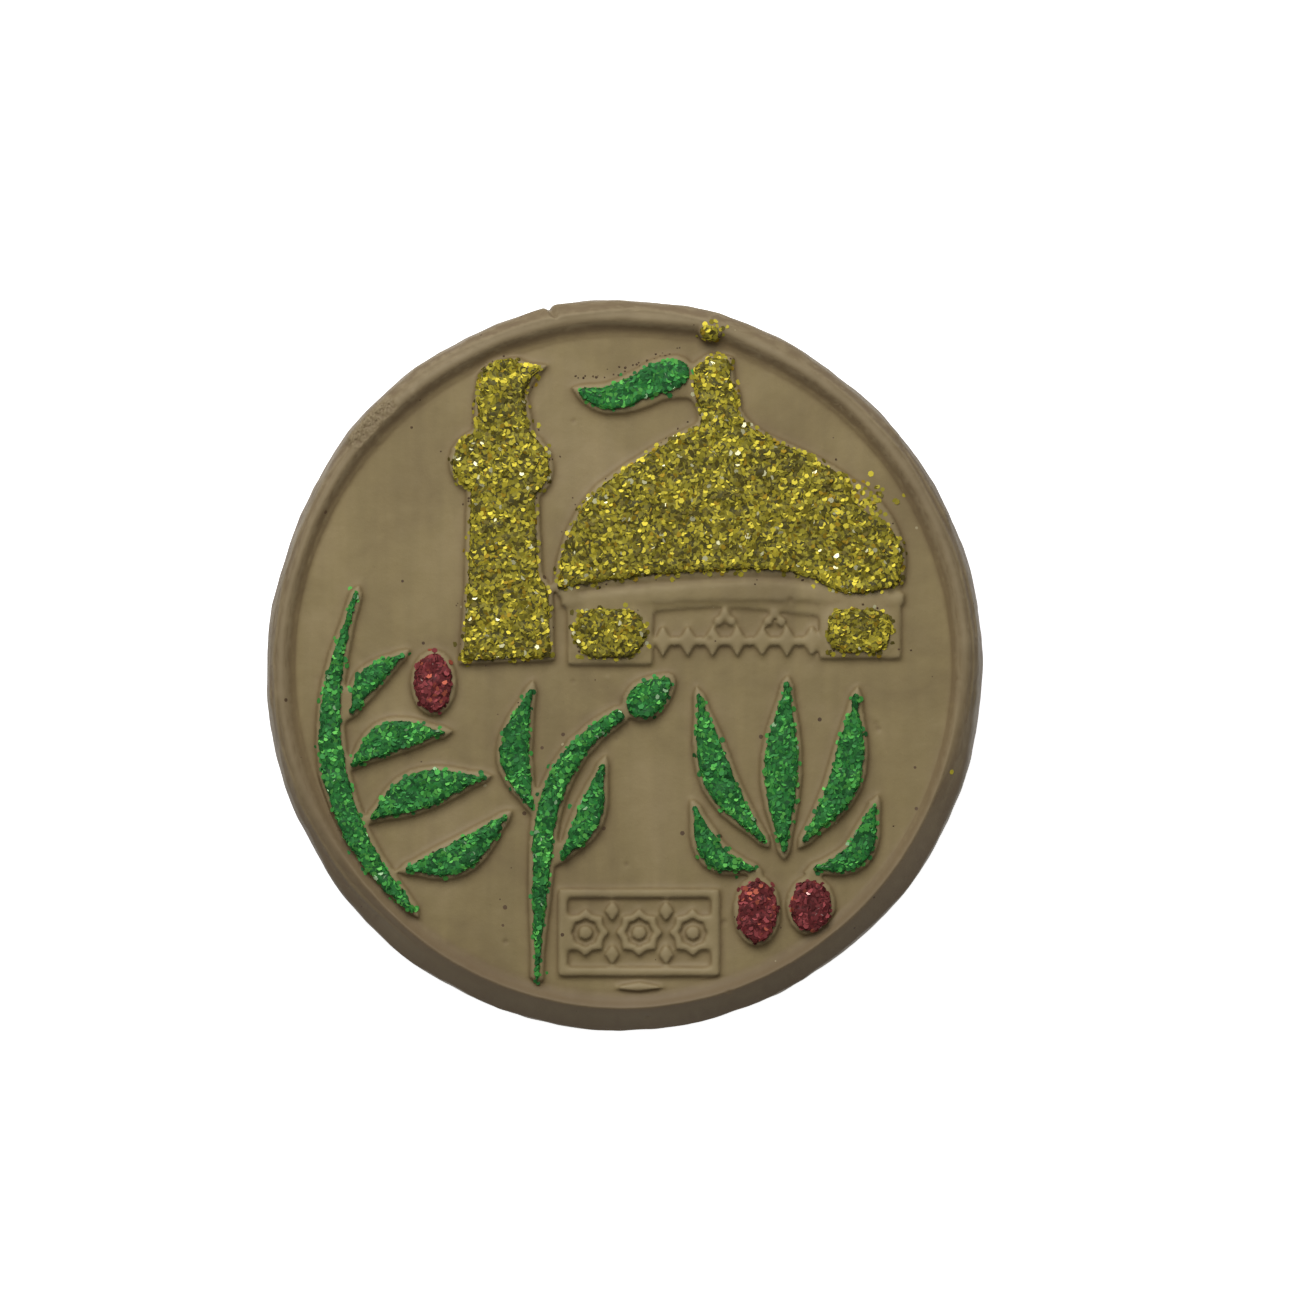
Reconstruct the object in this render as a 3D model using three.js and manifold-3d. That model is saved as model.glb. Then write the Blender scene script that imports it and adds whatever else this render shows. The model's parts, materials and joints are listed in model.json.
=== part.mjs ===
// A round tablet of pressed, sun-dried clay. Its face carries a raised picture in low relief: a minaret, a
// dome with a pennant, a drum with two windows, and a garden of fronds and berries below them. Each raised
// shape is coated by hand with a bead of glitter glue: gold on the building, green on the leaves and the
// pennant, red on the berries. The clay is one pressed piece, and each bead of glue is a piece of its own.
//
// Millimetres, +Z up, out of the picture. The origin is the middle of the flat back, +X is the picture's
// right and +Y its top.
import * as THREE from "three";
import { mergeVertices } from "three/addons/utils/BufferGeometryUtils.js";
import Module from "manifold-3d";

const wasm = await Module();
wasm.setup();

// ---- Driving dimensions ----

// The pressed disc
const tabletWidth = 70; // across X, at the widest
const tabletLength = 71.2; // across Y: the soft cake came out of its mould slightly oval
const fieldHeight = 9.2; // the flat field of the face above the back
const rimHeight = 1.4; // the rim's crest above the field
const shoulderWidth = 1.4; // the rim's sloping outer side, measured inwards
const shoulderDrop = 1.4; // the same side, measured down from the crest
const crestWidth = 0.2; // the flat crest of the rim
const rimSlope = 1.8; // how far the rim's inner side runs, from the crest to the field
const wallDraft = 0.4; // how far the side wall leans in, from its foot to the rim's shoulder
const footRadius = 0.9; // the rounding of the edge that stands on the table
const edgeRipple = 0.14; // how far the side wall wanders in and out

// The raised picture
const reliefHeight = 0.65; // the raised shapes above the field
const reliefRoot = 0.8; // how deep a raised shape is carried into the clay, to join it
const clayMargin = 0.42; // bare clay left round each bead of glue
const pictureMargin = 0.5; // clear field between the picture and the foot of the rim
const ledgeHeight = 0.65; // the plain moulding under the dome, above the field
const apronHeight = 0.35; // the low step round the moulding, up to the dome, above the field
const padHeight = 0.5; // the square surrounds of the windows, above the field
const ornamentHeight = 0.55; // the small plain ornaments, above the field

// The beads of glitter glue
const glueThickness = 0.45;
const knobLift = 0.1; // the spire's knob stands this far above the rim's crest

// How finely round shapes are divided
const discDivisions = 72;
const cornerDivisions = 4;
const strokeDivisions = 11;

// ---- Heights and radii that follow ----

const edgeRadius = tabletWidth / 2;
const crestHeight = fieldHeight + rimHeight;
const crestOuter = edgeRadius - shoulderWidth;
const crestInner = crestOuter - crestWidth;
const fieldRadius = crestInner - rimSlope;
const reliefTop = fieldHeight + reliefHeight;

// How much further the tablet reaches along Y than along X
const stretch = (tabletLength - tabletWidth) / 2;

// The picture is drawn at the size of its wooden die, and pressed at the size that the field holds.
const dieHalfWidth = 31.2;
const dieHalfLength = 31.8;
const pictureScale = {
  x: (fieldRadius - pictureMargin) / dieHalfWidth,
  y: (fieldRadius + stretch - pictureMargin) / dieHalfLength,
};

// ---- Clay and glue ----

const clay = new THREE.MeshStandardMaterial({ color: 0x7e6f51, roughness: 0.9, metalness: 0 });
const goldGlitter = new THREE.MeshStandardMaterial({ color: 0xb5a02c, roughness: 0.35, metalness: 0.8 });
const greenGlitter = new THREE.MeshStandardMaterial({ color: 0x1f8a3c, roughness: 0.35, metalness: 0.7 });
const redGlitter = new THREE.MeshStandardMaterial({ color: 0x8f2a33, roughness: 0.35, metalness: 0.7 });

// ---- Outlines ----

// A point of the picture, in the die's millimetres.
function drawn(x, y) {
  return new THREE.Vector2(x * pictureScale.x, y * pictureScale.y);
}

// An outline that runs smoothly through points given as [x, y].
function smoothOutline(points, divisions) {
  const curve = new THREE.CatmullRomCurve3(
    points.map(([x, y]) => new THREE.Vector3(x, y, 0)),
    true,
    "centripetal",
  );
  return curve
    .getSpacedPoints(divisions)
    .slice(0, -1)
    .map((p) => drawn(p.x, p.y));
}

// A brush stroke along a smooth line: pointed at its start, and widest at the share `belly` of its length.
// `end` is the half width left at its far end, so 0 gives a pointed leaf.
function brushStroke(line, halfWidth, belly = 0.5, end = 0) {
  const spine = new THREE.SplineCurve(line.map(([x, y]) => new THREE.Vector2(x, y)));
  const left = [];
  const right = [];
  const tip = 0.2; // no stroke of a brush is thinner than this
  for (let i = 0; i <= strokeDivisions; i++) {
    const t = i / strokeDivisions;
    const p = spine.getPointAt(t);
    const along = spine.getTangentAt(t);
    const rise = t < belly ? Math.sin((Math.PI / 2) * (t / belly)) : 1;
    const fall = t > belly ? Math.cos((Math.PI / 2) * ((t - belly) / (1 - belly))) : 1;
    const half = Math.max(tip, (halfWidth - end) * rise * fall + end * rise);
    left.push(drawn(p.x - along.y * half, p.y + along.x * half));
    right.push(drawn(p.x + along.y * half, p.y - along.x * half));
  }
  const first = spine.getPointAt(0).addScaledVector(spine.getTangentAt(0), -2 * tip);
  const last = spine.getPointAt(1).addScaledVector(spine.getTangentAt(1), 2 * tip);
  return [drawn(first.x, first.y), ...right, drawn(last.x, last.y), ...left.reverse()];
}

function ovalOutline(x, y, halfWidth, halfLength, divisions = 20) {
  const oval = new THREE.EllipseCurve(x, y, halfWidth, halfLength, 0, 2 * Math.PI);
  return oval
    .getPoints(divisions)
    .slice(0, -1)
    .map((p) => drawn(p.x, p.y));
}

function roundedRectangle(x0, y0, x1, y1, radius, divisions = cornerDivisions) {
  const shape = new THREE.Shape();
  shape.absarc(x1 - radius, y1 - radius, radius, 0, Math.PI / 2);
  shape.absarc(x0 + radius, y1 - radius, radius, Math.PI / 2, Math.PI);
  shape.absarc(x0 + radius, y0 + radius, radius, Math.PI, 1.5 * Math.PI);
  shape.absarc(x1 - radius, y0 + radius, radius, 1.5 * Math.PI, 2 * Math.PI);
  return shape.extractPoints(divisions).shape.map((p) => drawn(p.x, p.y));
}

// A copy of an outline that runs anticlockwise, moved outwards by `margin`.
function grown(outline, margin) {
  const count = outline.length;
  const longestMitre = 1.6;
  return outline.map((p, i) => {
    const before = outline[(i + count - 1) % count];
    const after = outline[(i + 1) % count];
    const a = new THREE.Vector2(p.y - before.y, before.x - p.x).normalize();
    const b = new THREE.Vector2(after.y - p.y, p.x - after.x).normalize();
    const bisector = a.clone().add(b).normalize();
    const mitre = Math.min(longestMitre, 1 / Math.max(0.1, bisector.dot(a)));
    return p.clone().addScaledVector(bisector, margin * mitre);
  });
}

// ---- Solids ----

function prism(outline, bottom, top, hole) {
  const shape = new THREE.Shape(outline);
  if (hole) shape.holes.push(new THREE.Path(hole));
  const solid = new THREE.ExtrudeGeometry(shape, { depth: top - bottom, bevelEnabled: false });
  return solid.translate(0, 0, bottom);
}

function toManifold(geometry) {
  const bare = geometry.clone();
  bare.deleteAttribute("normal");
  bare.deleteAttribute("uv");
  const merged = mergeVertices(bare, 1e-4);
  return new wasm.Manifold(
    new wasm.Mesh({
      numProp: 3,
      vertProperties: merged.attributes.position.array,
      triVerts: new Uint32Array(merged.index.array),
    }),
  );
}

function fromManifold(solid) {
  const mesh = solid.getMesh();
  const geometry = new THREE.BufferGeometry();
  geometry.setAttribute("position", new THREE.BufferAttribute(new Float32Array(mesh.vertProperties), 3));
  geometry.setIndex(new THREE.BufferAttribute(new Uint32Array(mesh.triVerts), 1));
  geometry.computeVertexNormals();
  return geometry;
}

// ---- The pressed disc ----

// How far the side wall stands in or out of its oval at an angle: three slow waves, as a hand leaves them.
function ripple(angle) {
  const waves = Math.cos(3 * angle + 0.9) + 0.8 * Math.cos(5 * angle - 0.6) + 0.5 * Math.cos(8 * angle + 2);
  return (edgeRipple * waves) / 2.3;
}

function pressedDisc() {
  const profile = new THREE.Path();
  profile.moveTo(0, 0);
  profile.lineTo(edgeRadius - footRadius, 0);
  profile.absarc(edgeRadius - footRadius, footRadius, footRadius, -Math.PI / 2, 0, false);
  profile.lineTo(edgeRadius - wallDraft, crestHeight - shoulderDrop);
  profile.bezierCurveTo(
    edgeRadius - wallDraft - shoulderWidth / 8,
    crestHeight - shoulderDrop * 0.6,
    crestOuter + shoulderWidth / 4,
    crestHeight - shoulderDrop * 0.15,
    crestOuter,
    crestHeight,
  );
  profile.lineTo(crestInner, crestHeight);
  profile.bezierCurveTo(
    crestInner - rimSlope / 3,
    crestHeight,
    fieldRadius + rimSlope / 2,
    fieldHeight,
    fieldRadius,
    fieldHeight,
  );
  profile.lineTo(0, fieldHeight);

  const disc = new THREE.LatheGeometry(profile.getPoints(cornerDivisions), discDivisions);
  disc.rotateX(Math.PI / 2);

  // The whole rim is drawn out along Y. Its outer part and the side wall also wander a little.
  const place = disc.attributes.position;
  const low = new THREE.Vector2(Infinity, Infinity);
  const high = new THREE.Vector2(-Infinity, -Infinity);
  for (let i = 0; i < place.count; i++) {
    const radius = Math.hypot(place.getX(i), place.getY(i));
    const angle = Math.atan2(place.getY(i), place.getX(i));
    const oval = Math.min(1, radius / fieldRadius) * stretch * Math.sin(angle) ** 2;
    const wander = Math.max(0, (radius - crestInner) / (edgeRadius - crestInner)) * ripple(angle);
    const moved = radius + oval + wander;
    place.setXY(i, moved * Math.cos(angle), moved * Math.sin(angle));
    low.min(new THREE.Vector2(place.getX(i), place.getY(i)));
    high.max(new THREE.Vector2(place.getX(i), place.getY(i)));
  }
  return { disc, middle: low.add(high).divideScalar(2) };
}

// ---- The glued shapes of the picture ----

// Each entry is one bead of glitter glue: its name, its outline and its colour.
const coats = [];

function coat(name, outline, material) {
  coats.push({ name, outline, material });
}

// The building
const minaretAxis = -11.7;

function minaretOutline() {
  const shape = new THREE.Shape();
  shape.moveTo(minaretAxis - 3.7, 0.6);
  shape.lineTo(minaretAxis + 4.7, 0.9);
  shape.lineTo(minaretAxis + 4.5, 7.0);
  shape.quadraticCurveTo(minaretAxis + 4.1, 8.2, minaretAxis + 3.5, 8.7);
  shape.lineTo(minaretAxis + 3.2, 16.6);
  shape.quadraticCurveTo(minaretAxis + 4.7, 17.6, minaretAxis + 4.6, 19.4);
  shape.quadraticCurveTo(minaretAxis + 4.4, 21.2, minaretAxis + 2.7, 22.4);
  shape.lineTo(minaretAxis + 2.1, 26.2);
  shape.quadraticCurveTo(minaretAxis + 2.6, 28.0, minaretAxis + 3.9, 28.9);
  shape.quadraticCurveTo(minaretAxis + 2.4, 28.6, minaretAxis + 1.2, 29.6);
  shape.quadraticCurveTo(minaretAxis - 0.6, 30.0, minaretAxis - 1.7, 28.6);
  shape.lineTo(minaretAxis - 2.2, 26.2);
  shape.lineTo(minaretAxis - 2.3, 22.6);
  shape.quadraticCurveTo(minaretAxis - 4.4, 21.8, minaretAxis - 4.7, 20.0);
  shape.quadraticCurveTo(minaretAxis - 4.7, 18.0, minaretAxis - 3.0, 17.2);
  shape.lineTo(minaretAxis - 3.2, 7.4);
  return shape.extractPoints(cornerDivisions).shape.map((p) => drawn(p.x, p.y));
}

const domeLeft = -6.3;
const domeRight = 27.1;
const spireLeft = 6.8;
const spireRight = 10.5;

// The glue stops short of the dome's right shoulder, where the brush missed it.
function domeOutline() {
  const shape = new THREE.Shape();
  shape.moveTo(domeLeft, 7.5);
  shape.quadraticCurveTo(domeLeft + 7, 9.0, domeLeft + 15, 9.2);
  shape.quadraticCurveTo(domeRight - 11.5, 9.8, domeRight - 8.8, 8.6);
  shape.quadraticCurveTo(domeRight - 6.6, 6.9, domeRight - 4.3, 7.1);
  shape.quadraticCurveTo(domeRight - 1.6, 7.3, domeRight - 0.3, 8.2);
  shape.quadraticCurveTo(domeRight + 0.2, 10.9, domeRight - 0.6, 12.6);
  shape.quadraticCurveTo(domeRight - 1.8, 14.4, domeRight - 3.6, 14.9);
  shape.quadraticCurveTo(domeRight - 5.4, 15.8, domeRight - 5.1, 17.8);
  shape.quadraticCurveTo(domeRight - 7.6, 19.8, spireRight + 3.4, 22.1);
  shape.quadraticCurveTo(spireRight + 1.0, 23.4, spireRight + 0.5, 25.0);
  shape.quadraticCurveTo(spireRight + 0.7, 26.4, spireRight - 0.1, 27.4);
  shape.lineTo(spireRight - 0.2, 29.7);
  shape.lineTo(spireLeft + 1.5, 29.8);
  shape.lineTo(spireLeft + 0.1, 28.8);
  shape.lineTo(spireLeft + 0.2, 26.0);
  shape.quadraticCurveTo(spireLeft + 1.3, 24.4, spireLeft + 0.7, 23.2);
  shape.quadraticCurveTo(domeLeft + 9.5, 21.4, domeLeft + 4.0, 17.2);
  shape.quadraticCurveTo(domeLeft + 0.3, 13.4, domeLeft, 7.5);
  return shape.extractPoints(cornerDivisions).shape.map((p) => drawn(p.x, p.y));
}

coat("minaret_gold_glitter", minaretOutline(), goldGlitter);
coat("dome_gold_glitter", domeOutline(), goldGlitter);
coat("left_window_gold_glitter", roundedRectangle(-4.6, 0.9, 2.1, 5.5, 2.1, 6), goldGlitter);
coat("right_window_gold_glitter", roundedRectangle(19.8, 1.4, 25.9, 5.5, 1.7, 6), goldGlitter);

// The pennant, blown to the left of the spire
const pennantOutline = smoothOutline(
  [
    [-4.3, 26.7],
    [-2.9, 25.3],
    [-1.5, 24.8],
    [0.4, 25.1],
    [2.4, 26.0],
    [4.6, 26.6],
    [6.1, 27.5],
    [6.4, 28.8],
    [5.6, 29.6],
    [3.2, 29.3],
    [0.8, 28.0],
    [-1.6, 27.0],
  ],
  34,
);
coat("pennant_green_glitter", pennantOutline, greenGlitter);

// The left frond: a curved stem beside the rim, with four leaves on its inner side
coat(
  "left_frond_stem_green_glitter",
  brushStroke([[-25.8, 6.9], [-28.0, -1.6], [-28.0, -9.6], [-25.4, -17.2], [-20.4, -23.6]], 1.15, 0.6, 0.3),
  greenGlitter,
);
const leftLeaves = [
  { base: [-26.2, -4.4], bend: [-24.6, -1.4], tip: [-21.4, 1.0], halfWidth: 1.0 },
  { base: [-26.0, -9.4], bend: [-22.6, -6.9], tip: [-17.4, -6.4], halfWidth: 1.45 },
  { base: [-24.2, -14.6], bend: [-19.6, -12.0], tip: [-13.7, -10.8], halfWidth: 1.75 },
  { base: [-20.8, -19.6], bend: [-15.8, -18.4], tip: [-11.4, -14.6], halfWidth: 1.45 },
];
leftLeaves.forEach(({ base, bend, tip, halfWidth }, i) =>
  coat(`left_frond_leaf_${i + 1}_green_glitter`, brushStroke([base, bend, tip], halfWidth, 0.45), greenGlitter),
);

// The middle flower: a tall stem that bows to the right under its bud, with a leaf on each side
coat(
  "middle_stem_green_glitter",
  brushStroke([[-8.3, -30.2], [-8.0, -22.0], [-7.2, -13.6], [-4.2, -7.8], [-0.3, -4.7]], 1.0, 0.6, 0.55),
  greenGlitter,
);
coat("middle_bud_green_glitter", smoothOutline(
  [
    [0.3, -3.7],
    [1.2, -4.8],
    [3.0, -4.6],
    [4.3, -3.0],
    [4.7, -1.2],
    [2.9, -1.3],
    [1.1, -2.1],
  ],
  26,
), greenGlitter);
const middleLeaves = [
  { base: [-8.8, -13.6], bend: [-10.5, -8.5], tip: [-8.9, -2.4], halfWidth: 1.35 },
  { base: [-5.8, -18.4], bend: [-3.4, -14.8], tip: [-1.9, -9.6], halfWidth: 1.2 },
];
middleLeaves.forEach(({ base, bend, tip, halfWidth }, i) =>
  coat(`middle_leaf_${i + 1}_green_glitter`, brushStroke([base, bend, tip], halfWidth, 0.45), greenGlitter),
);

// The right palmette: five leaves that fan out from one point
const palmetteLeaves = [
  { base: [12.6, -19.6], bend: [8.8, -18.2], tip: [7.0, -13.8], halfWidth: 1.1 },
  { base: [13.6, -16.8], bend: [9.4, -11.2], tip: [7.4, -3.0], halfWidth: 1.45 },
  { base: [15.6, -17.8], bend: [15.3, -10.4], tip: [15.9, -1.9], halfWidth: 1.6 },
  { base: [17.6, -16.8], bend: [21.4, -11.2], tip: [22.6, -3.0], halfWidth: 1.45 },
  { base: [18.6, -19.6], bend: [22.6, -18.2], tip: [24.4, -13.4], halfWidth: 1.1 },
];
palmetteLeaves.forEach(({ base, bend, tip, halfWidth }, i) =>
  coat(`palmette_leaf_${i + 1}_green_glitter`, brushStroke([base, bend, tip], halfWidth, 0.5), greenGlitter),
);

// The berries
coat("left_berry_red_glitter", ovalOutline(-18.3, -1.6, 1.8, 2.8), redGlitter);
coat("middle_berry_red_glitter", ovalOutline(13.0, -23.7, 1.9, 3.0), redGlitter);
coat("right_berry_red_glitter", ovalOutline(18.2, -23.2, 1.95, 2.5), redGlitter);

// ---- Plain clay ornaments ----

// An arched moulding between the dome and its drum
function ledgeOutline() {
  const shape = new THREE.Shape();
  shape.moveTo(domeLeft + 0.4, 5.8);
  shape.quadraticCurveTo(domeLeft + 10, 6.5, domeLeft + 20, 6.4);
  shape.quadraticCurveTo(domeRight - 5, 6.3, domeRight + 0.1, 6.0);
  shape.lineTo(domeRight + 0.2, 7.1);
  shape.quadraticCurveTo(domeRight - 5.5, 6.1, domeRight - 8.8, 7.7);
  shape.quadraticCurveTo(domeRight - 12, 8.4, domeLeft + 15, 8.0);
  shape.quadraticCurveTo(domeLeft + 6, 7.4, domeLeft + 0.4, 6.7);
  return shape.extractPoints(cornerDivisions).shape.map((p) => drawn(p.x, p.y));
}

function regularOutline(x, y, radius, sides) {
  return Array.from({ length: sides }, (_, i) => {
    const angle = (2 * Math.PI * i) / sides;
    return drawn(x + radius * Math.cos(angle), y + radius * Math.sin(angle));
  });
}

function lozengeOutline(x, y, halfWidth, halfHeight) {
  return [drawn(x + halfWidth, y), drawn(x, y + halfHeight), drawn(x - halfWidth, y), drawn(x, y - halfHeight)];
}

// An eight-pointed star made of two crossed squares
function starOutline(x, y, radius) {
  const valley = radius * 0.765;
  return Array.from({ length: 16 }, (_, i) => {
    const angle = (Math.PI * i) / 8;
    const reach = i % 2 ? valley : radius;
    return drawn(x + reach * Math.cos(angle), y + reach * Math.sin(angle));
  });
}

const ornaments = [];

function ornament(outline, hole, height = ornamentHeight) {
  ornaments.push(prism(outline, fieldHeight - reliefRoot, fieldHeight + height, hole));
}

function rectangleOutline(x0, y0, x1, y1) {
  return [drawn(x0, y0), drawn(x1, y0), drawn(x1, y1), drawn(x0, y1)];
}

// The dome's bare right shoulder
const shoulderOutline = smoothOutline(
  [
    [18.4, 19.3],
    [21.9, 18.3],
    [24.9, 16.1],
    [26.8, 13.0],
    [27.3, 9.8],
    [25.0, 10.4],
    [20.5, 13.0],
  ],
  26,
);
ornament(shoulderOutline, undefined, reliefHeight);

// The lower edge of the pennant's clay, which the glue leaves bare
const pennantHem = smoothOutline(
  [
    [-1.8, 24.9],
    [-0.4, 24.4],
    [1.8, 24.8],
    [4.4, 25.8],
    [7.2, 26.1],
    [7.2, 27.8],
    [3.0, 26.6],
  ],
  24,
);
ornament(pennantHem, undefined, padHeight);

// A low step round the moulding, up to the dome
const apronOutline = smoothOutline(
  [
    [-5.4, 5.4],
    [9.0, 5.8],
    [26.6, 5.3],
    [26.6, 8.4],
    [16.0, 10.2],
    [-5.4, 8.2],
  ],
  30,
);
ornament(apronOutline, undefined, apronHeight);

// The square surrounds of the two windows
ornament(rectangleOutline(-5.3, 0.1, 2.9, 6.0), undefined, padHeight);
ornament(rectangleOutline(19.1, 0.7, 26.9, 6.2), undefined, padHeight);

const beadRadius = 0.45;

function bead(x, y, radius = beadRadius) {
  ornament(regularOutline(x, y, radius, 8));
}

// The frieze in the drum: lozenges with a bead between each two, and two trefoils that stand on it
const friezeLeft = 3.9;
const friezeRight = 18.3;
const friezeCount = 13;
const friezeMiddle = 2.4;
for (let i = 0; i < friezeCount; i++) {
  const x = THREE.MathUtils.lerp(friezeLeft, friezeRight, i / (friezeCount - 1));
  if (i % 2) bead(x, friezeMiddle);
  else ornament(lozengeOutline(x, friezeMiddle, 0.85, 1.5));
}
for (const x of [9.9, 14.7]) {
  bead(x - 0.65, friezeMiddle + 1.9);
  bead(x + 0.65, friezeMiddle + 1.9);
  bead(x, friezeMiddle + 2.7);
}

// The panel at the foot of the picture: a frame round three stars, with lozenges and beads between them
const panel = { left: -6.2, right: 9.4, bottom: -30.0, top: -21.6, bar: 0.8 };

ornament(
  rectangleOutline(panel.left, panel.bottom, panel.right, panel.top),
  rectangleOutline(
    panel.left + panel.bar,
    panel.bottom + panel.bar,
    panel.right - panel.bar,
    panel.top - panel.bar,
  ),
);
const starCount = 3;
const starRadius = 2.3;
const starBar = 0.75;
const starBead = 0.7;
const sparLozenge = { away: 2.1, halfWidth: 0.7, halfHeight: 1.0 };
const starSpacing = (panel.right - panel.left) / starCount;
const panelMiddle = (panel.bottom + panel.top) / 2;
for (let i = 0; i < starCount; i++) {
  const x = panel.left + (i + 0.5) * starSpacing;
  ornament(starOutline(x, panelMiddle, starRadius), starOutline(x, panelMiddle, starRadius - starBar));
  bead(x, panelMiddle, starBead);
}
for (let i = 1; i < starCount; i++) {
  for (const side of [-1, 1]) {
    const y = panelMiddle + side * sparLozenge.away;
    const x = panel.left + i * starSpacing;
    ornament(lozengeOutline(x, y, sparLozenge.halfWidth, sparLozenge.halfHeight));
  }
}

// A long lozenge under the panel
ornament(lozengeOutline((panel.left + panel.right) / 2, panel.bottom - 1.1, 2.3, 0.5));

ornament(ledgeOutline(), undefined, ledgeHeight);

// The boss under the spire's knob, on the slope of the rim
const knob = { x: 8.4, y: 32.2, halfWidth: 0.95, halfLength: 0.75, margin: 0.1 };
const knobTop = crestHeight + knobLift;
const knobOutline = ovalOutline(knob.x, knob.y, knob.halfWidth, knob.halfLength, 14);

// ---- Assembly ----

const { disc, middle } = pressedDisc();

function buildClay() {
  let solid = toManifold(disc);
  for (const { outline } of coats) {
    solid = solid.add(toManifold(prism(grown(outline, clayMargin), fieldHeight - reliefRoot, reliefTop)));
  }
  for (const piece of ornaments) solid = solid.add(toManifold(piece));
  const boss = prism(grown(knobOutline, knob.margin), fieldHeight - reliefRoot, knobTop);
  return fromManifold(solid.add(toManifold(boss)));
}

const tablet = new THREE.Group();
tablet.position.set(-middle.x, -middle.y, 0);

function place(name, geometry, material) {
  const mesh = new THREE.Mesh(geometry, material);
  mesh.name = name;
  tablet.add(mesh);
}

place("clay_tablet", buildClay(), clay);
for (const { name, outline, material } of coats) {
  place(name, prism(outline, reliefTop, reliefTop + glueThickness), material);
}
place("spire_knob_gold_glitter", prism(knobOutline, knobTop, knobTop + glueThickness), goldGlitter);

export default tablet;
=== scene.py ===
import json
import math

import bpy
import mathutils
import numpy as np
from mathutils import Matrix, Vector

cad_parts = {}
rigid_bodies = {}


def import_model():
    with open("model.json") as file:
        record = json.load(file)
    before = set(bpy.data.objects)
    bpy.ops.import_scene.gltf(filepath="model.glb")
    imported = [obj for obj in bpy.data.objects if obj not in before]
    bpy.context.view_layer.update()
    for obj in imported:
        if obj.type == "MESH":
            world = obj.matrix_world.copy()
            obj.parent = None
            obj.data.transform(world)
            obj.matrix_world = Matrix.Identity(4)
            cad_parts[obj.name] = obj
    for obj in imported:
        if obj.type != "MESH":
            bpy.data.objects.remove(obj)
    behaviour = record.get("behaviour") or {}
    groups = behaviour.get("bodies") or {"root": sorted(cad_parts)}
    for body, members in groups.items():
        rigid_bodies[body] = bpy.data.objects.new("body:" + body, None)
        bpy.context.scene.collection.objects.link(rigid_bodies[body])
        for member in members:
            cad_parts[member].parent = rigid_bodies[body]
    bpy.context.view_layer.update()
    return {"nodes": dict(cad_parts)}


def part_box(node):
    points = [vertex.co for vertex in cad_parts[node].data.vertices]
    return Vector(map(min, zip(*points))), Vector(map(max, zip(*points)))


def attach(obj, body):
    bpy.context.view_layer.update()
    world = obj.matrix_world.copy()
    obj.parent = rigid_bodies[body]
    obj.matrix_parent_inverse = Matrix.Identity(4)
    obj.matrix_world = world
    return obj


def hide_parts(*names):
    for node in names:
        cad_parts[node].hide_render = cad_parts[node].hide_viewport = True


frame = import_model()

# ---------------------------------------------------------------------------------------------------
# The clay tablet: one cake of fine potter's clay, pressed into a carved wooden die by hand, turned out
# and dried in the sun. Its edge wanders a little, some clay was squeezed flat over the rim, and its
# face keeps small pits, grains of grit and faint drag marks.
# ---------------------------------------------------------------------------------------------------

MM = 0.001

clay_low, clay_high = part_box("clay_tablet")
tablet_radius = (clay_high[0] - clay_low[0]) / 2
rim_width = 3.3 * MM  # from the tablet's edge to the foot of the rim's inner side
press_grain = 0.19 * MM  # the finest detail that the pressed clay holds
clay_triangles = 185000


def deselect():
    if bpy.context.object and bpy.context.object.mode != "OBJECT":
        bpy.ops.object.mode_set(mode="OBJECT")
    bpy.ops.object.select_all(action="DESELECT")


def take(piece):
    deselect()
    piece.select_set(True)
    bpy.context.view_layer.objects.active = piece


def cast_from(node, name):
    """A merged copy of a CAD node, to be worked on as a piece of its own."""
    piece = bpy.data.objects[node].copy()
    piece.data = piece.data.copy()
    piece.name = piece.data.name = name
    piece.data.materials.clear()
    bpy.context.collection.objects.link(piece)
    take(piece)
    bpy.ops.object.mode_set(mode="EDIT")
    bpy.ops.mesh.select_all(action="SELECT")
    bpy.ops.mesh.remove_doubles(threshold=0.001 * MM)
    bpy.ops.object.mode_set(mode="OBJECT")
    return piece


def finish_with(piece, kind, **settings):
    take(piece)
    modifier = piece.modifiers.new(kind.title(), kind)
    for key, value in settings.items():
        setattr(modifier, key, value)
    bpy.ops.object.modifier_apply(modifier=modifier.name)


def clouds(name, size, depth):
    texture = bpy.data.textures.new(name, "CLOUDS")
    texture.noise_scale = size
    texture.noise_depth = depth
    texture.noise_basis = "IMPROVED_PERLIN"
    return texture


def points_of(piece):
    points = np.empty(len(piece.data.vertices) * 3)
    piece.data.vertices.foreach_get("co", points)
    return points.reshape(-1, 3)


def move_points(piece, points):
    piece.data.vertices.foreach_set("co", points.ravel())
    piece.data.update()


def from_middle(points):
    """How far each point lies from the tablet's middle, at what angle, and which way is outward."""
    angle = np.arctan2(points[:, 1], points[:, 0])
    return np.hypot(points[:, 0], points[:, 1]), angle, (np.cos(angle), np.sin(angle))


def bell(distance, width):
    """1 where the distance is 0, falling away on both sides."""
    return np.exp(-((distance / width) ** 2))


def rising(value, start, width):
    """0 up to the start and 1 from a width after it."""
    return np.clip((value - start) / width, 0, 1)


def falling(value, end, width):
    """1 until a width before the end and 0 from the end on."""
    return np.clip((end - value) / width, 0, 1)


clay = cast_from("clay_tablet", "clay_tablet_pressed")
finish_with(clay, "REMESH", mode="VOXEL", voxel_size=press_grain)
finish_with(clay, "SMOOTH", factor=0.5, iterations=17)

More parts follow.
